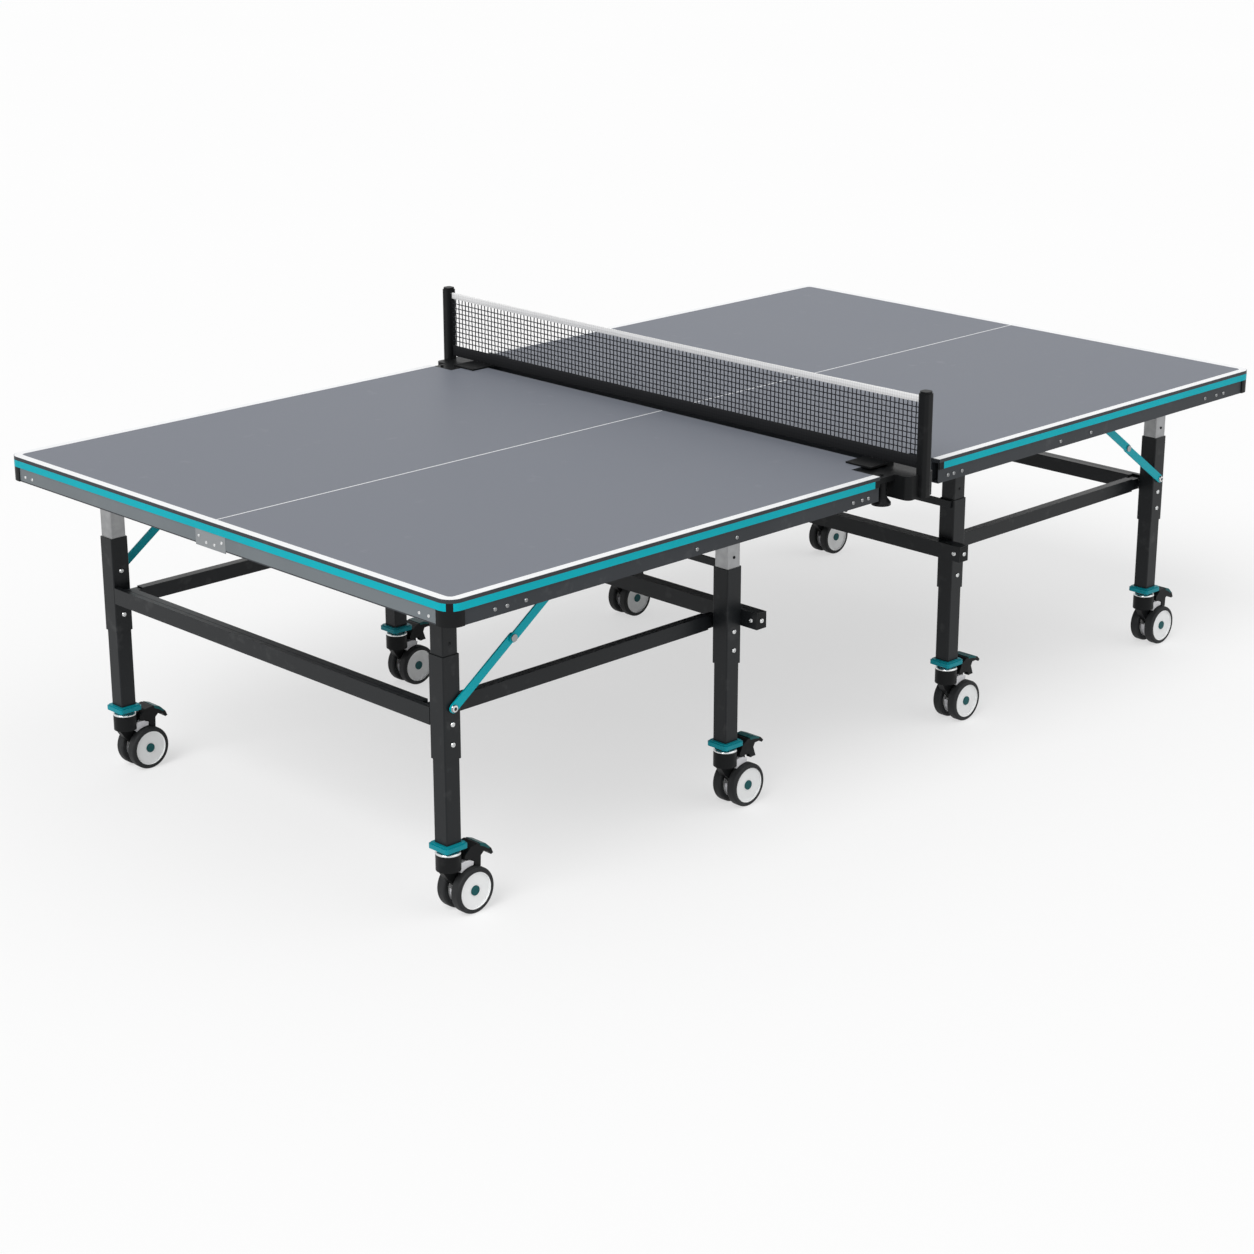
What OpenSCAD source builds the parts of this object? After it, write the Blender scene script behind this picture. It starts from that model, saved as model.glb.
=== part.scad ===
// Folding outdoor table tennis table on eight swivel casters.
// Two halves stand side by side. Each half has an inner leg frame that carries the fold,
// a board in a steel apron, outer legs that stay upright while the board tilts up,
// two side bars that keep those legs upright, and two folding braces.
// Origin: on the floor under the middle of the net. X runs along the table, Z is up.

/* [Table] */
// Length of the whole playing surface
table_l = 2740; // [2400:10:3000]
// Width of the playing surface
table_w = 1525; // [1400:5:1600]
// Height of the playing surface above the floor
table_h = 760; // [740:1:790]
// Space between the two boards under the net
half_gap = 36; // [30:1:44]
// Thickness of the board
board_t = 8; // [5:0.5:10]
// Radius of the two outer corners of each board
corner_r = 32; // [20:1:36]
// How far each notch beside the net reaches along the table
notch_x = 86; // [80:1:100]
// How far each notch beside the net reaches in from the sideline
notch_y = 85; // [80:1:100]

/* [Apron] */
// Depth of the apron under the board
apron_d = 49; // [40:1:54]
// Width of the apron tubes
apron_w = 22; // [18:1:26]
// Wall of the apron tubes
apron_wall = 1.5; // [1.2:0.1:2.5]
// Height of the coloured trim strip
trim_h = 16; // [10:1:24]
// Thickness of the trim strip
trim_t = 3; // [2:0.5:4]
// Length of a corner block along each side
corner_l = 40; // [37:1:60]
// Width of the cross rails under the board
rail_w = 40; // [30:1:50]
// Depth of the cross rails under the board
rail_h = 20; // [15:1:25]

/* [Legs] */
// Distance from the middle of the table to the inner legs
inner_x = 395; // [385:1:420]
// Distance from the end of the table to the outer legs
end_reach = 145; // [130:1:190]
// Distance from the centre line to every leg
leg_y = 575; // [540:1:600]
// Width of the square leg tubes
leg_w = 40; // [36:1:42]
// Width of the sleeves that join the upper and lower leg tubes
sleeve_w = 45; // [44:0.5:48]
// Wall of the leg tubes
leg_wall = 2; // [1.5:0.1:3]
// Height where the sleeves start
sleeve_low = 350; // [320:5:380]
// Height where the sleeves end
sleeve_high = 575; // [540:5:600]
// Space between the leg tubes and the lower edge of the apron
leg_drop = 3; // [1:0.5:10]
// Width of the square foot plates
foot_w = 60; // [56:1:62]
// Thickness of the foot plates
foot_t = 13; // [10:0.5:16]

/* [Fold] */
// Distance along the table from each leg to its hinge
hinge_reach = 85; // [84:1:88]
// Distance of the hinge axes below the cross rails
hinge_drop = 20; // [18:1:24]
// Radius of the hinge pins
hinge_r = 6; // [5:0.5:7]
// Radial clearance of every pin in its bore
pin_clear = 0.05; // [0.03:0.01:0.1]
// Thickness of the hinge arms on the legs
arm_t = 8; // [6:0.5:10]
// Thickness of each hinge lug under the board
lug_t = 5; // [4:0.5:8]
// Height of the side bar pins
bar_z = 440; // [430:1:450]
// Height of the side bars
bar_h = 34; // [30:1:34]
// Thickness of the side bars
bar_t = 22; // [18:1:24]
// Space between a sleeve and its side bar
bar_stand = 14; // [13.5:0.5:15]
// Offset of the side bar pins from the leg axes
bar_pin_x = 5; // [4:0.5:5]

/* [Bars] */
// Height of the end bar and of the cross bar
beam_h = 38; // [30:1:40]
// Thickness of the end bar between the outer legs
end_bar_t = 12; // [8:0.5:12.5]
// Thickness of the cross bar on the inner legs
cross_bar_t = 31; // [25:1:35]
// Half length of the cross bar
cross_bar_y = 645; // [620:1:660]
// Height of the middle of the cross bar
cross_bar_z = 456; // [450:1:470]

/* [Braces] */
// Height of the lower brace pivots
brace_low_z = 464; // [460:1:470]
// Distance along the table from the outer legs to the upper brace pivots
brace_run = 350; // [340:1:360]
// Length of the lower link of a brace
brace_low_l = 196; // [190:1:200]
// Width of the brace links
brace_w = 20; // [16:1:22]
// Thickness of the brace links
brace_t = 4; // [3:0.5:4]
// Radius of the brace pivots
brace_pin_r = 5; // [4:0.5:6]

/* [Casters] */
// Radius of the caster wheels
wheel_r = 51; // [48:0.5:52]
// Width of each wheel
wheel_t = 24; // [20:1:26]
// Space between the two wheels of a caster
wheel_gap = 20; // [19:0.5:22]
// Distance the axle trails behind the stem
trail = 45; // [42:1:46]
// Radius of the axle
axle_r = 5; // [4:0.5:6]
// Radius of the fork head
head_r = 27; // [24:1:27]
// Angle between the released and the pressed pedal
pedal_throw = 22; // [15:1:24]

/* [Net] */
// Distance from the sideline to the middle of the net posts
post_out = 37.5; // [27.5:0.5:52.5]
// Width of the net posts
post_w = 28; // [22:1:30]
// Height of the post tops above the playing surface
post_h = 184; // [160:1:190]
// Height of the top edge of the net above the playing surface
net_h = 172; // [152:1:176]
// Height of the white tape along the top of the net
top_tape_h = 16; // [12:1:18]
// Height of the dark tape along the bottom of the net
bottom_tape_h = 28; // [20:1:30]
// Radius of the skirt of the clamp knobs
knob_r = 22; // [18:0.5:22]

/* [Hidden] */
$fn = 64;
fit = 0.1;         // gap between two pieces that are fixed to each other
flange_t = 3;      // flange that a hinge bracket is fixed by
run_gap = 0.3;     // gap between pieces that move past each other
half_l = table_l / 2;
net_end = half_gap / 2;
side_y = table_w / 2;
notch_end = net_end + notch_x;
notch_side = side_y - notch_y;
board_z = table_h - board_t;
apron_z = board_z - apron_d;
rail_z = board_z - rail_h;
hinge_z = rail_z - hinge_drop;
leg_top = apron_z - leg_drop;
outer_x = half_l - end_reach;
tube_face = side_y - trim_t;
inner_hinge = inner_x - hinge_reach;
outer_hinge = outer_x - hinge_reach;
brace_x = outer_x - brace_run;
brace_angle = atan2(hinge_z - brace_low_z, brace_run);
brace_len = norm([brace_run, hinge_z - brace_low_z]);
brace_face = leg_y + sleeve_w / 2 + 2.5;
head_top = 146;
ring_r = 18;
foot_z = 152;
tube_z = foot_z + foot_t;
splice_z = sleeve_high - 80;
wheel_in = wheel_gap / 2;
arm_y = wheel_in - 1;
pedal_x = 34;
pedal_z = 128;
pedal_half = 22;
bar_face = leg_y - sleeve_w / 2 - bar_stand;
post_y = side_y + post_out;
post_in = post_y - post_w / 2;
cap_h = 5;         // height of the narrower cap on a net post
house_x = [-50, 40];
knob_x = (notch_end + abs(house_x[0])) / 2;
knob_y = side_y - 18;
clamp_z = table_h - 18;
post_low = clamp_z - 40;
net_t = 2;

HALF = ["board", "apron", "trim", "corners", "inner_legs", "inner_uppers", "inner_feet",
        "cross_bar", "outer_legs", "outer_uppers", "outer_feet", "end_bar", "side_bars",
        "brace_uppers", "brace_lowers"];
PLACES = ["outer_front", "outer_back", "inner_front", "inner_back"];
CASTER = ["fork", "wheels", "pedal"];
NET = ["net_posts", "net_mesh", "net_top_tape", "net_bottom_tape",
       "net_knob_front", "net_knob_back"];

// ---- profiles ----

// Rectangle with its low corner at the origin and four round corners
module round_rect(w, l, r) {
    translate([r, 0]) square([w - 2 * r, l]);
    translate([0, r]) square([w, l - 2 * r]);
    for (x = [r, w - r]) for (y = [r, l - r]) translate([x, y]) circle(r);
}

// Square tube section with round edges
module tube_section(w, wall, r = 3) {
    difference() {
        translate([-w / 2, -w / 2]) round_rect(w, w, r);
        translate([wall - w / 2, wall - w / 2]) square(w - 2 * wall);
    }
}

// A flat profile drawn in X and Z, t thick in Y and centred on y
module upright_plate(y, t) {
    translate([0, y + t / 2, 0]) rotate([90, 0, 0]) linear_extrude(t) children();
}

// A pin along Y between two values of y
module pin_y(x, z, y0, y1, r) {
    translate([x, max(y0, y1), z]) rotate([90, 0, 0]) cylinder(r = r, h = abs(y1 - y0));
}

// Both ends of the table's width
module both_sides() {
    children();
    mirror([0, 1, 0]) children();
}

// The left half as drawn, or the right half as its mirror image
module on_side(side) {
    if (side == "left") children();
    else mirror([1, 0, 0]) children();
}

// ---- one half, drawn as the left half at negative X ----

module board() {
    color("slategray") translate([0, 0, board_z]) linear_extrude(board_t) difference() {
        union() {
            translate([-half_l, -side_y]) round_rect(half_l - net_end - corner_r,
                                                     table_w, corner_r);
            translate([-half_l + 2 * corner_r, -side_y])
                square([half_l - net_end - 2 * corner_r, table_w]);
        }
        for (y = [-side_y - 1, notch_side])
            translate([-notch_end, y]) square([notch_x + 1, notch_y + 1]);
    }
}

// A hollow apron tube between two corners of its box
module apron_tube(x0, x1, y0, y1, along) {
    difference() {
        translate([x0, y0, apron_z]) cube([x1 - x0, y1 - y0, apron_d - fit]);
        if (along == "x")
            translate([x0 - 1, y0 + apron_wall, apron_z + apron_wall])
                cube([x1 - x0 + 2, y1 - y0 - 2 * apron_wall, apron_d - fit - 2 * apron_wall]);
        else
            translate([x0 + apron_wall, y0 - 1, apron_z + apron_wall])
                cube([x1 - x0 - 2 * apron_wall, y1 - y0 + 2, apron_d - fit - 2 * apron_wall]);
    }
}

// A flat hollow rail across the board, centred on x
module cross_rail(x) {
    reach = tube_face - apron_w - fit;
    difference() {
        translate([x - rail_w / 2, -reach, rail_z]) cube([rail_w, 2 * reach, rail_h - fit]);
        translate([x - rail_w / 2 + apron_wall, -reach - 1, rail_z + apron_wall])
            cube([rail_w - 2 * apron_wall, 2 * reach + 2, rail_h - fit - 2 * apron_wall]);
    }
}

// A bracket under a cross rail: two lugs on a flange, and the pin of a leg's hinge arm
module hinge_clevis(x, y) {
    lug_r = hinge_r + 7;
    lug_y = arm_t / 2 + 0.5;
    for (s = [-1, 1]) upright_plate(y + s * (lug_y + lug_t / 2), lug_t) {
        translate([x, hinge_z]) circle(lug_r);
        translate([x - lug_r, hinge_z]) square([2 * lug_r, hinge_drop - fit]);
    }
    translate([x - lug_r, y - lug_y - lug_t, rail_z - fit - flange_t])
        cube([2 * lug_r, 2 * (lug_y + lug_t), flange_t]);
    pin_y(x, hinge_z, y - lug_y - lug_t + 0.5, y + lug_y + lug_t - 0.5, hinge_r);
}

// The lug and pin that carry the upper end of a brace
module brace_lug(x) {
    y0 = brace_face + 2 * brace_t + 0.5 + run_gap;
    upright_plate(y0 + 2, 4) {
        translate([x, hinge_z]) circle(brace_pin_r + 7);
        translate([x - brace_pin_r - 7, hinge_z])
            square([2 * brace_pin_r + 14, hinge_drop - fit]);
    }
    pin_y(x, hinge_z, y0 - brace_t - run_gap, y0 + 3, brace_pin_r);
}

module apron() {
    color("#2f3337") {
        both_sides() apron_tube(-half_l + corner_l + fit, -notch_end,
                                tube_face - apron_w, tube_face, "x");
        apron_tube(-half_l + trim_t, -half_l + trim_t + apron_w,
                   -side_y + corner_l + fit, side_y - corner_l - fit, "y");
        apron_tube(-net_end - trim_t - apron_w, -net_end - trim_t,
                   -notch_side, notch_side, "y");
        apron_tube(-notch_end - apron_w, -notch_end,
                   -tube_face + apron_w + fit, tube_face - apron_w - fit, "y");
        both_sides() apron_tube(-notch_end + fit, -net_end - trim_t - apron_w - fit,
                                notch_side - apron_w, notch_side, "x");
        for (x = [-inner_hinge, -outer_hinge]) {
            cross_rail(x);
            for (s = [-1, 1]) hinge_clevis(x, s * leg_y);
        }
        cross_rail(-brace_x);
        both_sides() brace_lug(-brace_x);
    }
}

module trim() {
    z = board_z - trim_h;
    end = notch_end + 16;
    color("#12a3b4") {
        both_sides() translate([-half_l + corner_l + fit, tube_face, z])
            cube([half_l - corner_l - fit - end, trim_t, trim_h - fit]);
        translate([-half_l, -side_y + corner_l + fit, z])
            cube([trim_t, table_w - 2 * (corner_l + fit), trim_h - fit]);
    }
}

module corners() {
    color("#26292c") {
        both_sides() translate([0, 0, apron_z]) linear_extrude(apron_d - fit) difference() {
            intersection() {
                translate([-half_l, -side_y]) round_rect(2 * half_l, table_w, corner_r);
                translate([-half_l, side_y - corner_l]) square(corner_l);
            }
            translate([-half_l + trim_t + apron_w, side_y - corner_l - 1])
                square([corner_l, corner_l + 1 - trim_t - apron_w]);
        }
        both_sides() translate([-notch_end - 16 + fit, tube_face, board_z - trim_h])
            cube([16 - fit, trim_t, trim_h - fit]);
    }
}

// Lower tube and sleeve of one leg, open at the top for the upper tube
module lower_leg(x, y) {
    translate([x, y, 0]) difference() {
        union() {
            translate([0, 0, tube_z]) linear_extrude(sleeve_low - tube_z + 1)
                tube_section(leg_w, leg_wall);
            translate([0, 0, sleeve_low]) linear_extrude(sleeve_high - sleeve_low)
                tube_section(sleeve_w, (sleeve_w - leg_w) / 2 + leg_wall);
        }
        translate([-leg_w / 2 - fit, -leg_w / 2 - fit, splice_z])
            cube([leg_w + 2 * fit, leg_w + 2 * fit, sleeve_high]);
    }
}

// Boss and pin on the inner face of a sleeve that carry a side bar
module bar_pin(x) {
    y_in = leg_y - sleeve_w / 2;
    pin_y(x, bar_z, y_in - bar_stand + run_gap, y_in + 1, hinge_r + 5);
    pin_y(x, bar_z, bar_face - bar_t - 4, y_in - bar_stand + run_gap + 1, hinge_r);
    pin_y(x, bar_z, bar_face - bar_t - 4, bar_face - bar_t - run_gap, hinge_r + 3);
}

module inner_legs() {
    color("#1d1f21") both_sides() {
        lower_leg(-inner_x, leg_y);
        bar_pin(-inner_x + bar_pin_x);
    }
}

module outer_legs() {
    color("#1d1f21") both_sides() {
        lower_leg(-outer_x, leg_y);
        bar_pin(-outer_x + bar_pin_x);
        pin_y(-outer_x, brace_low_z, leg_y + sleeve_w / 2 - 1, brace_face + brace_t + 2,
              brace_pin_r);
        pin_y(-outer_x, brace_low_z, leg_y + sleeve_w / 2 - 1, brace_face - run_gap,
              brace_pin_r + 3);
        pin_y(-outer_x, brace_low_z, brace_face + brace_t + run_gap,
              brace_face + brace_t + 3, brace_pin_r + 3);
    }
}

// Upper tube of one leg with its hinge arm
module upper_leg(x, y) {
    translate([x, y, splice_z + fit]) linear_extrude(leg_top - splice_z - fit)
        tube_section(leg_w, leg_wall);
    difference() {
        upright_plate(y, arm_t) {
            translate([x + hinge_reach, hinge_z]) circle(hinge_r + 6);
            polygon([[x, leg_top - 40], [x + leg_w / 2 + 6, leg_top - 40],
                     [x + hinge_reach + 9, hinge_z - 8], [x + hinge_reach, hinge_z + 12],
                     [x + leg_w / 2, hinge_z + 6], [x, leg_top]]);
        }
        pin_y(x + hinge_reach, hinge_z, y - arm_t, y + arm_t, hinge_r + pin_clear);
    }
}

module inner_uppers() {
    color("silver") both_sides() upper_leg(-inner_x, leg_y);
}

module outer_uppers() {
    color("silver") both_sides() upper_leg(-outer_x, leg_y);
}

// Square foot plate with a stepped upper edge and a bore for the caster stem
module foot_plate(x, y) {
    step = 3;
    translate([x, y, foot_z]) difference() {
        union() {
            translate([-foot_w / 2, -foot_w / 2]) linear_extrude(foot_t - step)
                round_rect(foot_w, foot_w, 7);
            translate([step - foot_w / 2, step - foot_w / 2]) linear_extrude(foot_t - fit)
                round_rect(foot_w - 2 * step, foot_w - 2 * step, 6);
        }
        translate([0, 0, -1]) cylinder(r = axle_r + pin_clear, h = foot_t + 2);
    }
}

module inner_feet() {
    color("#12a3b4") both_sides() foot_plate(-inner_x, leg_y);
}

module outer_feet() {
    color("#12a3b4") both_sides() foot_plate(-outer_x, leg_y);
}

// Hollow beam along Y with its low corner at x0, z0
module beam(x0, z0, t, y) {
    difference() {
        translate([x0, -y, z0]) cube([t, 2 * y, beam_h]);
        translate([x0 + leg_wall, -y - 1, z0 + leg_wall])
            cube([t - 2 * leg_wall, 2 * y + 2, beam_h - 2 * leg_wall]);
    }
}

module cross_bar() {
    color("#1d1f21") beam(-inner_x + sleeve_w / 2 + fit, cross_bar_z - beam_h / 2,
                          cross_bar_t, cross_bar_y);
}

module end_bar() {
    color("#1d1f21") beam(-outer_x - sleeve_w / 2, bar_z - beam_h / 2, end_bar_t,
                          leg_y - sleeve_w / 2 - fit);
}

module side_bars() {
    x0 = -outer_x + bar_pin_x;
    x1 = -inner_x + bar_pin_x;
    end_r = 14;
    taper = 26;
    color("#1d1f21") both_sides() difference() {
        upright_plate(bar_face - bar_t / 2, bar_t) {
            translate([x0, bar_z]) circle(end_r);
            translate([x1, bar_z]) circle(end_r);
            translate([x0, bar_z - end_r]) square([x1 - x0, 2 * end_r]);
            translate([x0 + taper, bar_z - bar_h / 2]) square([x1 - x0 - 2 * taper, bar_h]);
        }
        for (x = [x0, x1])
            pin_y(x, bar_z, bar_face - bar_t - 1, bar_face + 1, hinge_r + pin_clear);
        translate([x0 + taper, bar_face - bar_t + 2, bar_z - bar_h / 2 + 2])
            cube([x1 - x0 - 2 * taper, bar_t - 4, bar_h + 2]);
    }
}

// Flat link from the origin along +X with round ends
module link_profile(l) {
    circle(brace_w / 2);
    translate([l, 0]) circle(brace_w / 2);
    translate([0, -brace_w / 2]) square([l, brace_w]);
}

module brace_lowers() {
    y0 = brace_face;
    color("#0e7f8c") both_sides() difference() {
        upright_plate(y0 + brace_t / 2, brace_t)
            translate([-outer_x, brace_low_z]) rotate(brace_angle) link_profile(brace_low_l);
        pin_y(-outer_x, brace_low_z, y0 - 1, y0 + brace_t + 1, brace_pin_r + pin_clear);
    }
}

module brace_uppers() {
    y0 = brace_face + brace_t + 0.5;
    rivet = [brace_len - brace_low_l, 0];
    color("#0e7f8c") both_sides() difference() {
        union() {
            upright_plate(y0 + brace_t / 2, brace_t)
                translate([-brace_x, hinge_z]) rotate(brace_angle + 180)
                    link_profile(rivet[0]);
            pin_y(-brace_x - rivet[0] * cos(brace_angle), hinge_z - rivet[0] * sin(brace_angle),
                  y0 + 1, y0 + brace_t + 3, brace_pin_r + 3);
        }
        pin_y(-brace_x, hinge_z, y0 - 1, y0 + brace_t + 1, brace_pin_r + pin_clear);
    }
}

// ---- one caster, stem on the Z axis, wheels trailing towards +X ----

module fork() {
    color("#1a1b1d") difference() {
        union() {
            translate([0, 0, head_top - 42]) cylinder(r = head_r, h = 36);
            translate([0, 0, head_top - 7]) cylinder(r1 = head_r, r2 = head_r - 5, h = 7);
            translate([0, 0, head_top - 6])
                cylinder(r = ring_r, h = foot_z - run_gap - head_top + 6);
            translate([0, 0, head_top - 1])
                cylinder(r = axle_r, h = foot_z + foot_t + 6 - head_top);
            upright_plate(0, 2 * arm_y) {
                translate([trail, wheel_r]) circle(14);
                polygon([[-head_r + 3, 106], [-head_r + 3, 138], [pedal_x, 140],
                         [pedal_x + 12, 137], [56, 122], [57, 104], [45, 94], [40, 88],
                         [trail + 13.5, wheel_r + 3], [trail - 12, wheel_r - 7],
                         [-9, 84]]);
            }
        }
        pin_y(trail, wheel_r, -wheel_in, wheel_in, axle_r + pin_clear);
        pin_y(pedal_x, pedal_z, -wheel_in, wheel_in, 4 + pin_clear);
    }
}

// Half section of one wheel: the tyre, a dished disc and a raised hub cap
module wheel_section() {
    r_disc = wheel_r - 11;
    difference() {
        union() {
            square([wheel_r - 6, wheel_t - 2]);
            translate([wheel_r - 14, 0]) round_rect(14, wheel_t, 5);
        }
        translate([11, wheel_t - 4]) square([r_disc - 11, 5]);
        translate([14, -1]) square([r_disc - 15, 5]);
    }
}

module wheels() {
    color("#222426") translate([trail, 0, wheel_r]) {
        for (s = [-1, 1]) rotate([-90 * s, 0, 0]) translate([0, 0, wheel_in])
            rotate_extrude() wheel_section();
        rotate([90, 0, 0]) cylinder(r = axle_r, h = 2 * wheel_in + 4, center = true);
    }
}

// Brake pedal: two cheeks beside the fork, a web behind it, a shoe and a drooping tip
module pedal(turn) {
    shoe_gap = 0.5;
    color("#16181a") translate([pedal_x, 0, pedal_z]) rotate([0, -turn, 0])
        translate([-pedal_x, 0, -pedal_z]) {
            difference() {
                upright_plate(0, 2 * pedal_half) difference() {
                    union() {
                        translate([pedal_x, pedal_z]) circle(8);
                        polygon([[pedal_x - 4, 134.5], [42, 146], [62, 149], [84, 142],
                                 [99, 128], [104, 116], [98, 114], [90, 123], [78, 127],
                                 [70, 120], [69, 96], [54, 98], [52, 114], [pedal_x + 3, 121]]);
                    }
                    translate([trail, wheel_r]) circle(wheel_r + shoe_gap);
                }
                translate([0, -arm_y - run_gap, 90]) cube([66, 2 * (arm_y + run_gap), 52]);
            }
            pin_y(pedal_x, pedal_z, -pedal_half + 2, pedal_half - 2, 4);
        }
}

// ---- net set, carried by the left half ----

module net_posts() {
    color("#141516") both_sides() {
        translate([-post_w / 2, post_in, post_low])
            linear_extrude(table_h + post_h - cap_h - post_low) round_rect(post_w, post_w, 9);
        translate([-post_w / 2 + 2, post_in + 2, table_h + post_h - cap_h - 1])
            linear_extrude(cap_h + 1) round_rect(post_w - 4, post_w - 4, 8);
        difference() {
            union() {
                translate([house_x[0], notch_side + 8, clamp_z - 42]) linear_extrude(55)
                    round_rect(house_x[1] - house_x[0], post_y - notch_side - 8, 14);
                translate([-notch_end + run_gap, notch_side + 8, clamp_z])
                    cube([notch_end + house_x[0] + 20, side_y - notch_side - 10, 13]);
                translate([-70, notch_side - 46, table_h + run_gap]) cube([80, 74, 4]);
                translate([-12, notch_side + 9, clamp_z]) cube([22, 19, 20]);
            }
            translate([-knob_x, knob_y, clamp_z - 1])
                cylinder(r = 4 + pin_clear, h = 16);
        }
    }
}

module net_mesh() {
    low = table_h + 4.5 + bottom_tape_h;
    high = table_h + net_h - top_tape_h;
    color("#303234") translate([-net_t / 2, -post_in + fit, low + fit])
        cube([net_t, 2 * (post_in - fit), high - low - 2 * fit]);
}

module net_top_tape() {
    color("white") translate([-2, -post_in + fit, table_h + net_h - top_tape_h])
        cube([4, 2 * (post_in - fit), top_tape_h]);
}

module net_bottom_tape() {
    color("#141516") translate([-2, -post_in + fit, table_h + 4.5])
        cube([4, 2 * (post_in - fit), bottom_tape_h]);
}

// Bell-shaped clamp knob with its screw
module net_knob() {
    top = clamp_z - run_gap;
    low = apron_z - 15;
    color("#141516") translate([-knob_x, 0, 0]) {
        rotate_extrude() difference() {
            union() {
                translate([0, low]) square([knob_r, 6]);
                translate([0, low + 6]) polygon([[0, 0], [knob_r, 0], [knob_r - 8, 10],
                                                 [knob_r - 10, 22], [knob_r - 10, top - low - 6],
                                                 [0, top - low - 6]]);
            }
            translate([0, low - 1]) square([knob_r - 4, 5]);
        }
        translate([0, 0, top - 1]) cylinder(r = 4, h = 18);
    }
}

// ---- what each name draws ----

module half_node(name) {
    if (name == "board") board();
    if (name == "apron") apron();
    if (name == "trim") trim();
    if (name == "corners") corners();
    if (name == "inner_legs") inner_legs();
    if (name == "inner_uppers") inner_uppers();
    if (name == "inner_feet") inner_feet();
    if (name == "cross_bar") cross_bar();
    if (name == "outer_legs") outer_legs();
    if (name == "outer_uppers") outer_uppers();
    if (name == "outer_feet") outer_feet();
    if (name == "end_bar") end_bar();
    if (name == "side_bars") side_bars();
    if (name == "brace_uppers") brace_uppers();
    if (name == "brace_lowers") brace_lowers();
}

module caster_node(side, place, piece) {
    outer = place == "outer_front" || place == "outer_back";
    x = (side == "left" ? -1 : 1) * (outer ? outer_x : inner_x);
    y = (place == "outer_front" || place == "inner_front" ? -1 : 1) * leg_y;
    translate([x, y, 0]) {
        if (piece == "fork") fork();
        if (piece == "wheels") wheels();
        if (piece == "pedal") pedal(outer ? 0 : pedal_throw);
    }
}

for (side = ["left", "right"]) for (n = HALF)
    on_side(side) half_node(n);
for (side = ["left", "right"]) for (p = PLACES) for (c = CASTER)
    caster_node(side, p, c);
net_posts();
net_mesh();
net_top_tape();
net_bottom_tape();
translate([0, -knob_y, 0]) net_knob();  // net_knob_front
translate([0, knob_y, 0]) net_knob();  // net_knob_back
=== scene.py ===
# %% [markdown]
# # A folding table tennis table
# The steel, plastic and hinge parts come ready made and at their true size from the CAD frame.
# This lesson gives them their finishes and adds what is too fine or too soft for CAD:
# the painted lines, the knotted net, the tapes, thin strips, screws and small caster parts.
# A whole table could also be modelled here from scratch, but then its joints would have to be
# fitted by hand. Dressing a frame keeps every pin in its bore.

# %% Load the frame
import math
import bmesh
import bpy
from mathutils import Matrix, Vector


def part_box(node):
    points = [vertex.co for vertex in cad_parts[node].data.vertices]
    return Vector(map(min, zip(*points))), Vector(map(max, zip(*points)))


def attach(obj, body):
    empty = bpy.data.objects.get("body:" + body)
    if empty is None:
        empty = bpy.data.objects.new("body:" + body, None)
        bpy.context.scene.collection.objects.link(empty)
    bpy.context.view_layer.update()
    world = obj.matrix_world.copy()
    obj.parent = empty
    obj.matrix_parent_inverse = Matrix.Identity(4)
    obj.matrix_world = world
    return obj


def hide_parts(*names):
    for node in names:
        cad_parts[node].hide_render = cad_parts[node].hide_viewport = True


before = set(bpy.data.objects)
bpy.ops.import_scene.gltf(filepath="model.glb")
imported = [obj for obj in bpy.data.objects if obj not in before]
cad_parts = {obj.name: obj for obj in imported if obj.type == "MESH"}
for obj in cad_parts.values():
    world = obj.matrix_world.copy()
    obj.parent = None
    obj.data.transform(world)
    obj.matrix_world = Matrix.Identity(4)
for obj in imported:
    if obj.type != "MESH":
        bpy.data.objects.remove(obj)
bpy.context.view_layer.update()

# %% [markdown]
# ## Camera
# A long lens from over head height and from one corner shows an end and a long side at once
# and keeps the far half from shrinking. A shifted lens would keep the legs upright, but the
# shift would follow the camera into every other view, so the camera is simply tilted down.

# %% Place the camera
CAMERA_AT = (-4.596, -4.506, 2.375)
TURN = math.radians(44.69)
TILT = math.radians(18.66)
LENS_MM = 78.2
SENSOR_MM = 36

camera_data = bpy.data.cameras.new("camera")
camera_data.lens = LENS_MM
camera_data.sensor_width = SENSOR_MM
camera = bpy.data.objects.new("camera", camera_data)
camera.location = CAMERA_AT
camera.rotation_euler = (math.pi / 2 - TILT, 0, -TURN)
bpy.context.collection.objects.link(camera)
bpy.context.scene.camera = camera
print("camera", CAMERA_AT, "lens", LENS_MM)

# %% [markdown]
# ## Shader sums
# A material is a graph of nodes. Wiring each Math node by hand is slow to read, so one small
# class wraps a socket and lets Python's own signs build the nodes: `1 - mask` adds a Subtract
# node. Everything else comes from `Tree.node`, which sets a node up and plugs it in.

# %% Wire and Tree


class Wire:
    """A socket of a node that can be used in sums."""

    def __init__(self, bench, socket):
        self.bench = bench
        self.socket = socket

    def __add__(self, other):
        return self.bench.sum("ADD", self, other)

    def __radd__(self, other):
        return self.bench.sum("ADD", other, self)

    def __sub__(self, other):
        return self.bench.sum("SUBTRACT", self, other)

    def __rsub__(self, other):
        return self.bench.sum("SUBTRACT", other, self)

    def __mul__(self, other):
        return self.bench.sum("MULTIPLY", self, other)

    def __rmul__(self, other):
        return self.bench.sum("MULTIPLY", other, self)


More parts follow.
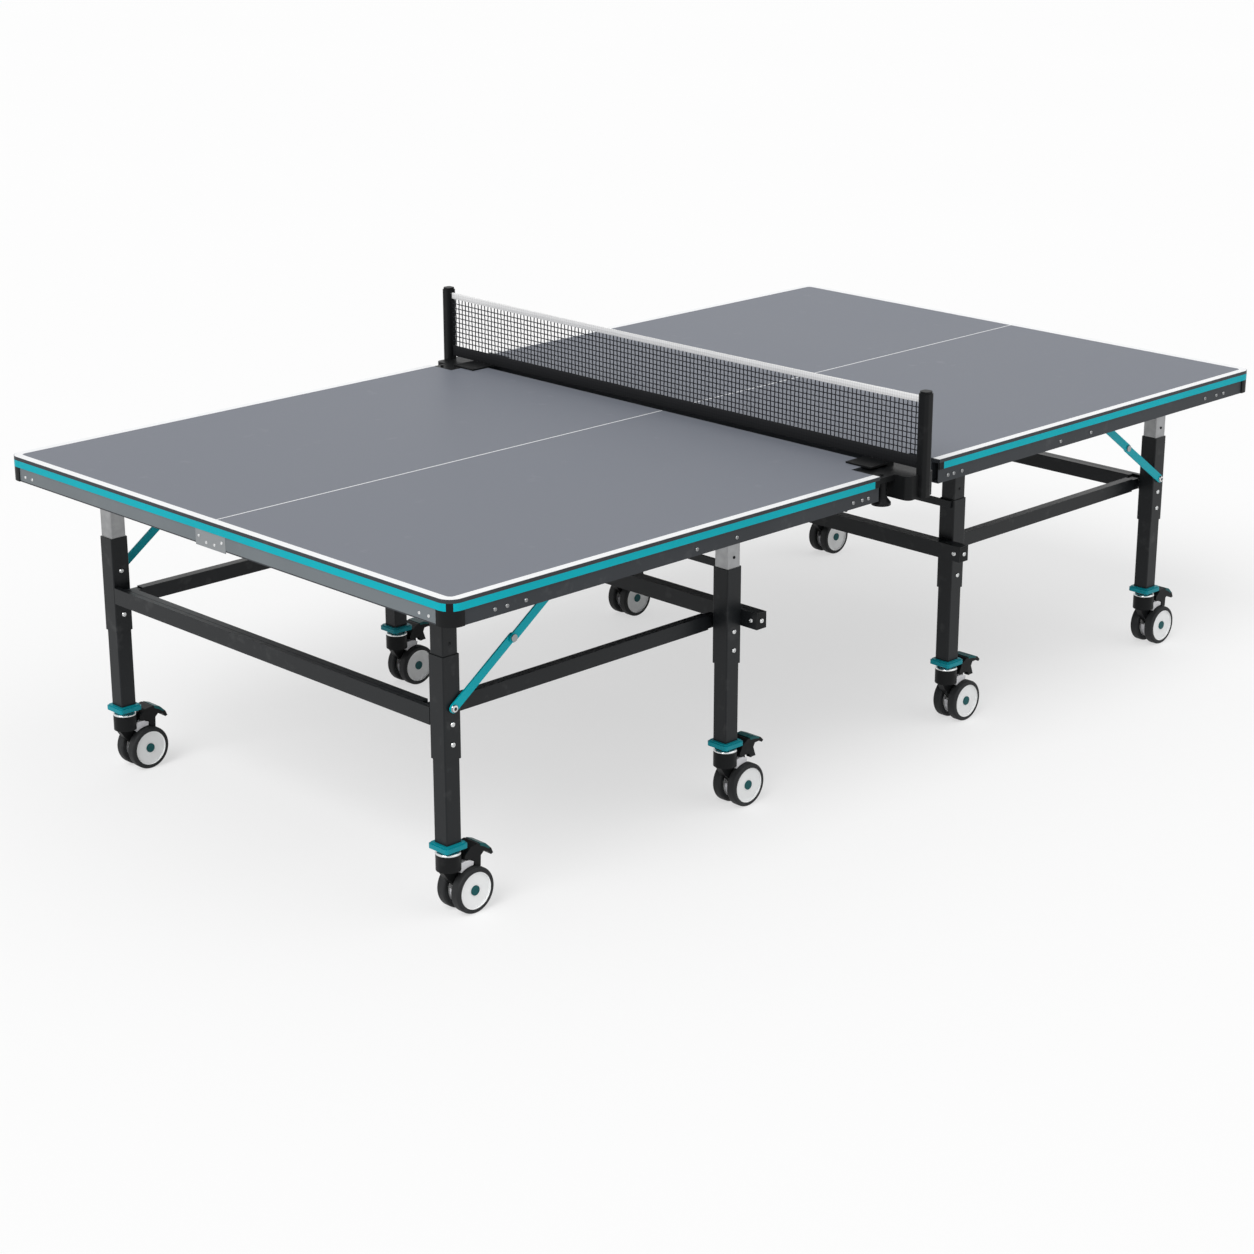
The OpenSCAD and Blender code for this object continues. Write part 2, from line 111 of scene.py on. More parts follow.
class Tree:
    """A node tree and the one method that makes any node in it."""

    def __init__(self, tree, output):
        self.tree = tree
        tree.nodes.clear()
        self.end = tree.nodes.new(output)

    def output(self, wire):
        self.tree.links.new(wire.socket, self.end.inputs[0])

    def sum(self, operation, a, b):
        return self.node("ShaderNodeMath", {"operation": operation}, {0: a, 1: b})

    def feed(self, socket, value):
        if isinstance(value, Wire):
            self.tree.links.new(value.socket, socket)
        elif socket.type == "RGBA" and len(value) == 3:
            socket.default_value = (*value, 1)
        else:
            socket.default_value = value

    def node(self, kind, settings=None, inputs=None, out=0):
        made = self.tree.nodes.new(kind)
        for key, value in (settings or {}).items():
            if key == "stops":
                ramp = made.color_ramp
                for place, colour in value[2:]:
                    ramp.elements.new(place)
                for element, (place, colour) in zip(ramp.elements, value):
                    element.position = place
                    element.color = (*colour, 1)
            else:
                setattr(made, key, value)
        for key, value in (inputs or {}).items():
            self.feed(made.inputs[key], value)
        return Wire(self, made.outputs[out])


print("sums ready")

# %% [markdown]
# ## The material bench
# Every finish of the table needs the same few things: one shader, a place in the object's own
# space, noise, a mix of two colours and a bump. A bench is a tree that has them at hand. Node
# groups would do the same inside Blender, but a method is easier to read and to change.

# %% Bench


class Bench(Tree):
    """One material: its shader and the patterns that several finishes share."""

    def __init__(self, name, **sockets):
        self.material = bpy.data.materials.new(name)
        self.material.use_nodes = True
        super().__init__(self.material.node_tree, "ShaderNodeOutputMaterial")
        self.shader = self.tree.nodes.new("ShaderNodeBsdfPrincipled")
        self.output(Wire(self, self.shader.outputs[0]))
        for key, value in sockets.items():
            self.set(key.replace("_", " "), value)

    def set(self, name, value):
        self.feed(self.shader.inputs[name], value)

    def place(self):
        return self.node("ShaderNodeTexCoord", out="Object")

    def stretched(self, scale):
        return self.node("ShaderNodeMapping", {}, {"Vector": self.place(), "Scale": scale})

    def noise(self, scale, detail=3, where=None):
        return self.node("ShaderNodeTexNoise", {},
                         {"Vector": where or self.place(), "Scale": scale, "Detail": detail})

    def mix(self, factor, a, b):
        return self.node("ShaderNodeMix", {"data_type": "RGBA"}, {0: factor, 6: a, 7: b}, out=2)

    def clamp(self, value, low, high):
        return self.node("ShaderNodeMapRange", {},
                         {"Value": value, "From Min": low, "From Max": high})

    def bump(self, height, strength, distance):
        self.set("Normal", self.node("ShaderNodeBump", {},
                                     {"Strength": strength, "Distance": distance,
                                      "Height": height}))


print("bench ready")

# %% [markdown]
# ## Coated and moulded surfaces
# Powder coat is sprayed dust baked on steel: an orange-peel skin with soft gloss. Moulded
# plastic has an etched grain and scuffs to a paler tone. Both are the same recipe at other
# scales: a broad and a fine noise tint the colour, a third one places the paler and duller
# scuffs, and the finest is the bump. Scanned surfaces would show more, but this recipe needs
# no scan and never tiles.

# %% The coated recipe
SCUFF_GREY = 0.35


def shade(colour, factor):
    return tuple(min(1.0, c * factor) for c in colour)


def coated(name, colour, rough, grain, depth, tint=0.14, scuff=0.05, gloss=0.5):
    """A coated or moulded finish: grain in bumps per metre, depth in metres."""
    b = Bench(name, Specular_IOR_Level=gloss)
    cloud = b.noise(3.2, 4)
    speck = b.noise(grain * 0.6, 2)
    worn = b.clamp(b.noise(26, 6), 0.6, 0.78)
    tinted = b.mix(b.clamp(cloud, 0.35, 0.65), shade(colour, 1 - tint), shade(colour, 1 + tint))
    specked = b.mix(b.clamp(speck, 0.3, 0.7) * 0.3, tinted, shade(colour, 1 + 2 * tint))
    pale = tuple(0.6 * c + 0.4 * SCUFF_GREY for c in colour)
    b.set("Base Color", b.mix(worn * scuff * 4, specked, pale))
    b.set("Roughness", rough + (cloud - 0.5) * 0.12 + worn * 0.08)
    b.bump(b.noise(grain, 2), 0.5, depth)
    return b.material


print("coated recipe ready")

# %% [markdown]
# ## The coated colours
# The table has two families of colour: blacks and greys on what carries it, and teals on what
# a hand or a foot should find. One finish for all that is black would be quicker, but steel,
# plastic and rubber would look alike. So each finish states its own gloss, because a black
# part mirrors the white room more than it shows its pigment. Small parts get a low tint, or
# two of a kind would look as if they came from two batches.

# %% Coated finishes
BLACK = (0.010, 0.0115, 0.013)
GRAPHITE = (0.030, 0.034, 0.039)
# the end facing's grey is painted light: the graphite apron drawn paler where the key light falls
END_PAINTED_LIGHT_GREY = (0.135, 0.155, 0.167)
PLATE_GREY = (0.22, 0.235, 0.245)
UNDERSIDE_GREY = (0.040, 0.043, 0.047)
PLASTIC_BLACK = (0.007, 0.0075, 0.008)
TYRE_BLACK = (0.018, 0.019, 0.020)
DISC_WHITE = (0.84, 0.85, 0.85)
HUB_GREY = (0.62, 0.62, 0.64)
LINE_WHITE = (0.90, 0.91, 0.92)
TEAL = (0.0, 0.37, 0.44)
FOOT_TEAL = (0.0, 0.23, 0.28)
BRACE_TEAL = (0.0, 0.38, 0.45)
DARK_TEAL = (0.0, 0.075, 0.080)

finish = {
    "apron": coated("graphite powder coat", GRAPHITE, 0.42, 900, 0.00015, gloss=0.2),
    # painted light: the end of the graphite apron drawn paler, as the key light falls on it
    "painted_light_facing": coated("graphite end facing with painted light", END_PAINTED_LIGHT_GREY, 0.36, 700, 0.00008, tint=0.08,
                     gloss=0.3),
    "plate": coated("grey joint plate", PLATE_GREY, 0.34, 800, 0.00008, tint=0.07),
    "tube": coated("black powder coat", BLACK, 0.34, 1000, 0.00012, gloss=0.22),
    "trim": coated("teal edge strip", TEAL, 0.42, 1400, 0.00006, tint=0.06, scuff=0.01,
                   gloss=0.1),
    "foot": coated("teal foot plate", FOOT_TEAL, 0.4, 1100, 0.0001, tint=0.09, scuff=0.02,
                   gloss=0.2),
    "brace": coated("teal powder coat", BRACE_TEAL, 0.36, 1000, 0.0001, tint=0.07, scuff=0.01,
                    gloss=0.15),
    "moulded": coated("black moulded plastic", PLASTIC_BLACK, 0.42, 1600, 0.0001, scuff=0.02,
                      gloss=0.12),
    "tyre": coated("soft grey tyre", TYRE_BLACK, 0.6, 700, 0.0002, tint=0.2, gloss=0.2),
    "disc": coated("pale wheel disc", DISC_WHITE, 0.42, 1200, 0.00006, tint=0.02, scuff=0.0),
    "hub": coated("pale grey hub shell", HUB_GREY, 0.4, 900, 0.00008, tint=0.06, scuff=0.0),
    "cap": coated("dark teal plastic", DARK_TEAL, 0.4, 1500, 0.00006, tint=0.08, gloss=0.2),
    "paint": coated("white line paint", LINE_WHITE, 0.4, 1500, 0.00004, tint=0.02, scuff=0.0),
    "underside": coated("board underside", UNDERSIDE_GREY, 0.6, 500, 0.0001, gloss=0.2),
}
print("coated finishes", sorted(finish))

# %% [markdown]
# ## Bare metal
# The bright upper leg tubes are galvanised and rolled, so their skin has long faint streaks
# and a cloudy spangle. Anisotropic gloss could show the rolling, yet it is lost in many
# viewers, so the streaks are noise that is stretched along the tube. It moves the roughness
# and the bump a little.

# %% Metal finishes
STEEL = (0.34, 0.345, 0.35)
ZINC = (0.70, 0.71, 0.71)


def rolled_metal(name, colour, rough, scale):
    b = Bench(name, Metallic=1.0)
    streak = b.noise(1.0, 4, b.stretched(scale))
    cloud = b.noise(45, 3)
    b.set("Base Color", b.mix(b.clamp(cloud, 0.3, 0.7), shade(colour, 0.86), shade(colour, 1.06)))
    b.set("Roughness", rough + (streak - 0.5) * 0.25)
    b.bump(streak, 0.25, 0.00008)
    return b.material


finish["silver"] = rolled_metal("rolled silver tube", STEEL, 0.34, (900, 900, 9))
finish["zinc"] = rolled_metal("zinc plated screw", ZINC, 0.26, (400, 400, 400))
print("metals ready")

# %% [markdown]
# ## Playing surface
# An outdoor board is a grey resin laminate with a fine eggshell skin that takes off glare.
# Its colour is one pigment, so only a very fine speckle, a faint large cloud and a few ball
# marks vary it. Anything stronger would look like stone.

# %% Board finish
BOARD_GREY = (0.164, 0.177, 0.208)


def playing_surface():
    b = Bench("grey playing surface", Specular_IOR_Level=0.16)
    cloud = b.noise(1.6, 3)
    speck = b.noise(1800, 1)
    marks = b.clamp(b.noise(19, 7), 0.66, 0.8)
    base = b.mix(cloud, shade(BOARD_GREY, 0.95), shade(BOARD_GREY, 1.05))
    fine = b.mix(b.clamp(speck, 0.35, 0.65) * 0.35, base, shade(BOARD_GREY, 1.16))
    b.set("Base Color", b.mix(marks * 0.12, fine, shade(BOARD_GREY, 1.4)))
    b.set("Roughness", 0.47 + (cloud - 0.5) * 0.08 - marks * 0.06)
    b.bump(b.noise(1300, 2), 0.35, 0.00008)
    return b.material


finish["board"] = playing_surface()
print("board finish ready")

# %% [markdown]
# ## Woven tapes
# Each tape is a flat weave, and a wave in two directions makes its threads. A picture of cloth
# could be tiled over it, but it would repeat. The weave is scaled in metres, so it stays the
# same size on a short tape and on a long one.

# %% Fabric finishes
WAVE_RADIANS = 20  # how far a wave texture turns in a metre at a scale of one
TAPE_WHITE = (0.80, 0.80, 0.80)
BAND_BLACK = (0.008, 0.0085, 0.010)
CORD_BLACK = (0.014, 0.015, 0.019)


def woven(name, colour, radian):
    """A flat weave. One radian of its wave, a sixth of a thread, is given in metres."""
    b = Bench(name, Specular_IOR_Level=0.2)
    scale = 1 / radian / WAVE_RADIANS
    warp, weft = [b.node("ShaderNodeTexWave", {"bands_direction": way},
                         {"Vector": b.place(), "Scale": scale, "Distortion": 0.6})
                  for way in "YZ"]
    cross = warp * 0.5 + weft * 0.5
    grime = b.clamp(b.noise(9, 5), 0.4, 0.8)
    cloth = b.mix(cross, shade(colour, 0.82), shade(colour, 1.05))
    b.set("Base Color", b.mix(grime * 0.15, cloth, shade(colour, 0.75)))
    b.set("Roughness", 0.8 - cross * 0.12)
    b.bump(cross, 0.4, 0.0002)
    return b.material


finish["white_tape"] = woven("white net tape", TAPE_WHITE, 0.0011)
finish["dark_tape"] = woven("dark net tape", BAND_BLACK, 0.0012)
finish["cord"] = woven("net cord", CORD_BLACK, 0.0006)
print("fabrics ready")

# %% [markdown]
# ## Dressing the CAD pieces
# A CAD mesh is given materials and modifiers here, but its points stay put. Where one piece shows
# two finishes, such as a wheel with a pale disc in a dark tyre, each face picks its own by
# where it lies. Splitting the wheel in CAD would cost more files for the same look. A narrow
# bevel softens the edges, because a perfectly sharp edge catches no light.

# %% Dress helpers


def dress(node, base, rules=(), edge=0.0008):
    """Gives a CAD node its finish. A rule is (finish name, test of a face's centre and normal)."""
    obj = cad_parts[node]
    mesh = obj.data
    mesh.materials.clear()
    for name in [base] + [rule[0] for rule in rules]:
        mesh.materials.append(finish[name])
    for face in mesh.polygons:
        face.material_index = 0
        for index, (_, test) in enumerate(rules, 1):
            if test(face.center, face.normal):
                face.material_index = index
    if edge:
        bevel = obj.modifiers.new("soft edges", "BEVEL")
        bevel.width = edge
        bevel.segments = 2
        bevel.limit_method = "ANGLE"
        bevel.angle_limit = math.radians(40)


print("finishes in all", len(finish))

# %% [markdown]
# ## The two halves
# The upper tubes change finish from leg to leg: one leg of each frame is silver and the other
# black, and the right half is the left half turned round. Each piece could be dressed by
# hand, but a loop over the sides and the leg frames keeps both halves alike.

# %% Dress the halves
SIDES = ("left", "right")
SILVER_AT = {"left_inner": -1, "left_outer": 1, "right_inner": 1, "right_outer": -1}
RIVET_PROUD = 0.0028

for side in SIDES:
    dress(f"{side}_board", "board", [("underside", lambda c, n: n.z < -0.5),
                                     ("apron", lambda c, n: abs(n.z) < 0.5)], edge=0.0006)
    dress(f"{side}_apron", "apron")
    dress(f"{side}_trim", "trim", edge=0.001)
    dress(f"{side}_corners", "moulded", edge=0.001)
    dress(f"{side}_cross_bar", "tube", edge=0.0015)
    dress(f"{side}_end_bar", "tube", edge=0.0015)
    dress(f"{side}_side_bars", "tube", edge=0.001)
    rivet_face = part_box(f"{side}_brace_uppers")[1][1] - RIVET_PROUD
    dress(f"{side}_brace_uppers", "brace", [("silver", lambda c, n: abs(c.y) > rivet_face)])
    dress(f"{side}_brace_lowers", "brace")
    for place in ("inner", "outer"):
        key = f"{side}_{place}"
        sign = SILVER_AT[key]
        dress(f"{key}_legs", "tube")
        dress(f"{key}_uppers", "tube", [("silver", lambda c, n, s=sign: c.y * s > 0)])
        dress(f"{key}_feet", "foot", edge=0.0012)
print("halves dressed")

# %% [markdown]
# ## Casters
# Each caster is a twin wheel: a soft tyre on a pale disc with a small coloured hub cap, on
# a moulded fork with a plated swivel ring. The faces are told apart by their distance from
# the axle or from the stem.

# %% Dress the casters
PLACES = ("outer_front", "outer_back", "inner_front", "inner_back")
HEAD_RADIUS = 0.027
SWIVEL_RADIUS = 0.0185
SWIVEL_TALL = 0.030
DISC_RADIUS = 0.0405
CAP_RADIUS = 0.0114
CAP_DEEP = 0.004


def stem_of(key):
    """The line that a caster swivels round, at floor height."""
    low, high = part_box(f"{key}_fork")
    return Vector((low[0] + HEAD_RADIUS, (low[1] + high[1]) / 2, 0))


def dress_caster(key):
    low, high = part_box(f"{key}_wheels")
    axle = (Vector(low) + Vector(high)) / 2
    cap_y = (high[1] - low[1]) / 2 - CAP_DEEP
    stem = stem_of(key)
    swivel_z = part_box(f"{key}_fork")[1][2] - SWIVEL_TALL

    def from_axle(c):
        return math.hypot(c.x - axle.x, c.z - axle.z)

    dress(f"{key}_wheels", "tyre", [
        ("disc", lambda c, n: from_axle(c) < DISC_RADIUS),
        ("cap", lambda c, n: from_axle(c) < CAP_RADIUS and abs(c.y - axle.y) > cap_y),
    ], edge=0.0006)
    dress(f"{key}_fork", "moulded", [
        ("zinc", lambda c, n: c.z > swivel_z
         and math.hypot(c.x - stem.x, c.y - stem.y) < SWIVEL_RADIUS),
    ], edge=0.0015)
    dress(f"{key}_pedal", "moulded", edge=0.0015)


for side in SIDES:
    for place in PLACES:
        dress_caster(f"{side}_{place}")
print("casters dressed", len(SIDES) * len(PLACES))

# %% [markdown]
# ## Pieces and slabs
# Most of the added pieces are a flat outline given some thickness. They could be made from
# curves and modifiers, but bmesh gives closed meshes with no more faces than the shape needs.
# Each piece rides on one body, so that it moves with the joint as the CAD does.

# %% Pieces and slabs


def new_piece(name, bm, material, body):
    """Turns a bmesh into an object that rides on a body."""
    bmesh.ops.recalc_face_normals(bm, faces=bm.faces)
    mesh = bpy.data.meshes.new(name)
    bm.to_mesh(mesh)
    bm.free()
    mesh.materials.append(material)
    obj = bpy.data.objects.new(name, mesh)
    bpy.context.collection.objects.link(obj)
    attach(obj, body)
    return obj


def add_slab(bm, outline, offset):
    """A closed solid from a loop of points, moved by offset for its other face."""
    first = [bm.verts.new(p) for p in outline]
    second = [bm.verts.new(Vector(p) + Vector(offset)) for p in outline]
    bm.faces.new(first)
    bm.faces.new(second[::-1])
    count = len(outline)
    for i in range(count):
        j = (i + 1) % count
        bm.faces.new([first[i], second[i], second[j], first[j]])


def add_box(bm, low, high):
    (x0, y0, z0), (x1, y1, z1) = low, high
    add_slab(bm, [(x0, y0, z0), (x1, y0, z0), (x1, y1, z0), (x0, y1, z0)], (0, 0, z1 - z0))


def soften(obj, width=0.0004):
    """A narrow bevel on every edge."""
    bevel = obj.modifiers.new("soft edges", "BEVEL")
    bevel.width = width
    bevel.segments = 2
    return obj


print("slab helpers ready")

# %% [markdown]
# ## Skins and turned pieces
# The other pieces are a row of rings with a skin between them, such as a turned screw, a bent
# cord or a swept tape. A ring is only a list of points, so one function can close them all.

# %% Skins and turned pieces


def add_skin(bm, rings):
    """A closed solid from a row of rings of points, with a flat face at each end."""
    rings = [[bm.verts.new(p) for p in ring] for ring in rings]
    for low, high in zip(rings, rings[1:]):
        for i in range(len(low)):
            j = (i + 1) % len(low)
            bm.faces.new([low[i], low[j], high[j], high[i]])
    bm.faces.new(rings[0][::-1])
    bm.faces.new(rings[-1])


def add_lathe(bm, profile, place, axis, steps=20):
    """A solid of revolution: profile is (radius, height) from the seat to the top."""
    turn = Vector((0, 0, 1)).rotation_difference(Vector(axis)).to_matrix()
    rings = []
    for radius, height in profile:
        ring = []
        for i in range(steps):
            a = 2 * math.pi * i / steps
            p = Vector((radius * math.cos(a), radius * math.sin(a), height))
            ring.append(Vector(place) + turn @ p)
        rings.append(ring)
    add_skin(bm, rings)


def smooth(obj, angle=40):
    """Smooth shading that leaves edges sharper than the angle as they are."""
    for face in obj.data.polygons:
        face.use_smooth = True
    obj.data.set_sharp_from_angle(angle=math.radians(angle))
    return obj


print("skin helpers ready")

# %% [markdown]
# ## Painted lines
# Rules ask for a 20 mm white line along the sides and ends and a 3 mm line down the middle.
# They could be drawn by the board's material, but a line that is its own thin skin keeps its
# edge however close the camera comes. The outer line follows the round corners of the board.

# %% White lines
LINE = 0.020
CENTRE_LINE = 0.003
SKIN = 0.0003
LINE_INSET = 0.0008
NET_INSET = 0.001
PAST_TRIM = 0.016
CORNER_RADIUS = 0.032
OUTWARD = {"left": -1, "right": 1}


def arc(cx, cy, radius, start, stop, steps=10):
    points = []
    for i in range(steps + 1):
        a = math.radians(start + (stop - start) * i / steps)
        points.append((cx + radius * math.cos(a), cy + radius * math.sin(a)))
    return points


def reach(node):
    """How far a piece lies from the middle of the table along X, near and far."""
    low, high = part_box(node)
    return sorted((abs(low[0]), abs(high[0])))


def edge_path(side, inset):
    """The three outer edges of a half, from the net clamp on one side to that on the other."""
    end = reach(f"{side}_board")[1] - inset
    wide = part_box(f"{side}_board")[1][1] - inset
    radius = CORNER_RADIUS - inset
    clamp = reach(f"{side}_trim")[0] - PAST_TRIM
    flat = [(clamp, wide)] + arc(end - radius, wide - radius, radius, 90, 0)
    flat += arc(end - radius, radius - wide, radius, 0, -90) + [(clamp, -wide)]
    return [(OUTWARD[side] * x, y) for x, y in flat]


def painted_lines(side):
    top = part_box(f"{side}_board")[1][2]
    bm = bmesh.new()
    rings = []
    for (x0, y0), (x1, y1) in zip(edge_path(side, LINE_INSET), edge_path(side, LINE)):
        rings.append([(x0, y0, top), (x0, y0, top + SKIN), (x1, y1, top + SKIN), (x1, y1, top)])
    add_skin(bm, rings)
    near, far = (OUTWARD[side] * x for x in reach(f"{side}_board"))
    near += OUTWARD[side] * NET_INSET
    far -= OUTWARD[side] * LINE
    half = CENTRE_LINE / 2
    add_slab(bm, [(near, -half, top), (far, -half, top), (far, half, top), (near, half, top)],
             (0, 0, SKIN))
    return new_piece(f"{side}_lines", bm, finish["paint"], f"{side}_top")


for side in SIDES:
    piece = painted_lines(side)
    print(piece.name, "faces", len(piece.data.polygons))

# %% [markdown]
# ## The net
# A net is knotted cord held between two tapes and pulled tight by the posts. A flat sheet
# with a see-through pattern of cord would be quick, but it has no thickness from the side.
# Here every cord is a thin square bar, woven past its neighbours by a part of its thickness,
# and the net hangs a few millimetres lower in the middle, as a real one does.

# %% Net cords
CELL = 0.0125
CORD = 0.0019
WEAVE = 0.35 * CORD
SAG = 0.004
SAG_AT_BAND = 0.4

net_low, net_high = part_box("net_mesh")
net_y = net_high[1]
net_tall = net_high[2] - net_low[2]
rows = round(net_tall / CELL)
columns = round(2 * net_y / CELL)


def sag(y, share=1.0):
    return -SAG * share * (1 - (y / net_y) ** 2)


def knot(row, column, side):
    """Where two cords cross. Side is 1 for the upright cord and -1 for the level one."""
    y = -net_y + column * 2 * net_y / columns
    z = net_low[2] + row * net_tall / rows
    x = side * WEAVE * (1 if (row + column) % 2 else -1)
    return x, y, z + sag(y, SAG_AT_BAND + (1 - SAG_AT_BAND) * row / rows)


def add_cord(bm, points, along_y):
    """A bar of square section through points that run mostly along Y or Z."""
    h = CORD / 2
    corners = [(-h, -h), (h, -h), (h, h), (-h, h)]
    add_skin(bm, [[(x + a, y, z + b) if along_y else (x + a, y + b, z) for a, b in corners]
                  for x, y, z in points])


def net_cords():
    bm = bmesh.new()
    for column in range(1, columns):
        add_cord(bm, [knot(row, column, 1) for row in range(rows + 1)], False)
    for row in range(1, rows):
        add_cord(bm, [knot(row, column, -1) for column in range(columns + 1)], True)
    return new_piece("net_cords", bm, finish["cord"], "left_top")


cords = net_cords()

# %% [markdown]
# ## The tapes
# A tape is woven band folded over the edge of the net and sewn, so its section is a tall loop
# with a round fold. It is swept across the table in short steps with a faint ripple, because
# cloth under tension is never as straight as a bar. A cloth simulation would give the same
# shape slowly. The upper tape sags with the net, and the lower one lies on the clamps.

# %% Net tapes
TAPE_STEPS = 96
HEM = 0.002
FOLD_FLAT = 0.0004
RIPPLE = 0.0004
RIPPLE_WAVES = (61, 17)


def ripple(y):
    return RIPPLE * math.sin(y * RIPPLE_WAVES[0]) * math.sin(y * RIPPLE_WAVES[1] + 1)


def tape(name, node, share, material):
    """A folded tape in the space of its CAD node: a loop swept across the table."""
    low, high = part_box(node)
    half = (high[0] - low[0]) / 2
    waist = low[2] + (high[2] - low[2]) / 2
    side = [(half, low[2] + HEM), (half, waist), (half, high[2] - half),
            (half / 2, high[2] - FOLD_FLAT)]
    section = [(-half * 0.6, low[2]), (half * 0.6, low[2])] + side
    section += [(0, high[2])] + [(-x, z) for x, z in reversed(side)]
    bm = bmesh.new()
    rings = []
    for i in range(TAPE_STEPS + 1):
        y = -net_y + 2 * net_y * i / TAPE_STEPS
        rings.append([(x + ripple(y), y, z + sag(y, share)) for x, z in section])
    add_skin(bm, rings)
    return smooth(new_piece(name, bm, material, "left_top"), 50)


top_tape = tape("top_tape", "net_top_tape", 1.0, finish["white_tape"])
bottom_tape = tape("bottom_tape", "net_bottom_tape", 0.0, finish["dark_tape"])
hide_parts("net_mesh")
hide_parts("net_top_tape")
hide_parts("net_bottom_tape")

# %% [markdown]
# ## Posts, clamps and knobs
# The posts, clamps and knobs are glass-filled nylon mouldings. They could have a finish of
# their own, but next to the caster plastic it would look the same, so they share that one.

# %% Dress the net set
dress("net_posts", "moulded", edge=0.0015)
for name in ("net_knob_front", "net_knob_back"):
    dress(name, "moulded", edge=0.001)
print("net set dressed")

# %% [markdown]
# ## Strips and end facings
# The side bars are pressed channels with a strip let into the top. The end rail has a facing
# between its corner blocks, and a joint plate over its middle. The facing is painted light:
# its pale grey is the graphite of the apron drawn lighter where the key light falls on the end.
# All are plain sheet metal, so each is one slab whose edges a narrow bevel rounds. Cutting
# them into the CAD bars would not show more.

# %% Strips and end facings
BAR_END = 0.040
BAR_WIDE = 0.022
BAR_WALL = 0.0021
LID = 0.0022
CORNER_BLOCK = 0.0405
UNDER_TRIM = 0.0003
FACING = 0.0008
FACING_LIP = 0.007
PLATE = 0.0014
PLATE_HALF = 0.052
PLATE_LIP = 0.0005


def add_across(bm, x0, x1, half, bottom, top):
    """A box across the table that reaches as far to one side as to the other."""
    add_box(bm, (min(x0, x1), -half, bottom), (max(x0, x1), half, top))


def bar_lids(side):
    low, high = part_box(f"{side}_side_bars")
    near = high[1] - BAR_WIDE + BAR_WALL
    far = high[1] - BAR_WALL
    bm = bmesh.new()
    for y0, y1 in ((near, far), (-far, -near)):
        add_box(bm, (low[0] + BAR_END, y0, high[2] - LID), (high[0] - BAR_END, y1, high[2]))
    return soften(new_piece(f"{side}_side_bar_strips", bm, finish["tube"],
                            f"{side}_side_bars_body"))


def end_sheet(side, name, half, lip, thick):
    """A sheet on the end rail, from its lower lip to just under the coloured trim."""
    face = reach(f"{side}_apron")[1]
    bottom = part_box(f"{side}_apron")[0][2] + lip
    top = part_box(f"{side}_trim")[0][2] - UNDER_TRIM
    bm = bmesh.new()
    add_across(bm, OUTWARD[side] * face, OUTWARD[side] * (face + thick), half, bottom, top)
    return new_piece(f"{side}_end_{name}", bm, finish[name], f"{side}_top")


for side in SIDES:
    between_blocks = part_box(f"{side}_corners")[1][1] - CORNER_BLOCK
    bar_lids(side)
    # the facing sheet carries painted light: the end of the graphite apron drawn paler
    soften(end_sheet(side, "painted_light_facing", between_blocks, FACING_LIP, FACING), 0.0003)
    soften(end_sheet(side, "plate", PLATE_HALF, PLATE_LIP, PLATE))
    print(side, "facing is", round(2 * between_blocks, 3), "m wide")

# %% [markdown]
# ## Ties, beams and plugs
# A flat tie holds the two inner legs together, the end bar is a full tube between the side
# bars, and the open ends of the cross bar have plastic plugs. They could be CAD pieces too,
# but nothing fits into them and no joint turns on them. So they are slabs that lie against
# the CAD bars and ride on the same bodies.

# %% Ties, beams and plugs
LEG_SLEEVE = 0.045
TIE_THICK = 0.006
TIE_TALL = 0.018
TIE_HALF = 0.590
TIE_TOP = 0.574
BEAM_DEEP = 0.021
BEAM_HALF = 0.511
BEAM_EDGE = 0.0015
PLUG = 0.0015


def leg_tie(side):
    """A flat strip across the net side of the two inner legs."""
    face = sum(reach(f"{side}_inner_feet")) / 2 - LEG_SLEEVE / 2
    bm = bmesh.new()
    add_across(bm, OUTWARD[side] * face, OUTWARD[side] * (face - TIE_THICK), TIE_HALF,
               TIE_TOP - TIE_TALL, TIE_TOP)
    return soften(new_piece(f"{side}_leg_tie", bm, finish["tube"], f"{side}_base"))


def end_beam(side):
    """The back of the end bar, which makes it a full tube between the side bars."""
    low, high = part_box(f"{side}_end_bar")
    face = OUTWARD[side] * reach(f"{side}_end_bar")[0]
    bm = bmesh.new()
    add_across(bm, face, face - OUTWARD[side] * BEAM_DEEP, BEAM_HALF, low[2], high[2])
    return soften(new_piece(f"{side}_end_beam", bm, finish["tube"], f"{side}_outer_frame"), BEAM_EDGE)


def cross_bar_plugs(side):
    low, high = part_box(f"{side}_cross_bar")
    bm = bmesh.new()
    for y0, y1 in ((low[1], low[1] + PLUG), (high[1] - PLUG, high[1])):
        add_box(bm, (low[0] + PLUG, y0, low[2] + PLUG), (high[0] - PLUG, y1, high[2] - PLUG))
    return new_piece(f"{side}_cross_bar_plugs", bm, finish["moulded"], f"{side}_base")


for side in SIDES:
    made = [leg_tie(side), end_beam(side), cross_bar_plugs(side)]
    print("made", [piece.name for piece in made])

# %% [markdown]
# ## Corner strips
# The coloured strip is carried on round each corner block and stops short of the middle of
# the bend. A bevelled curve could follow the bend, but a flat outline with two arcs gives
# square ends. It is drawn once and mirrored to the other side of the table.

# %% Corner strips
STRIP_PROUD = 0.0002
STRIP_SWEEP = 32
STRIP_STEPS = 6


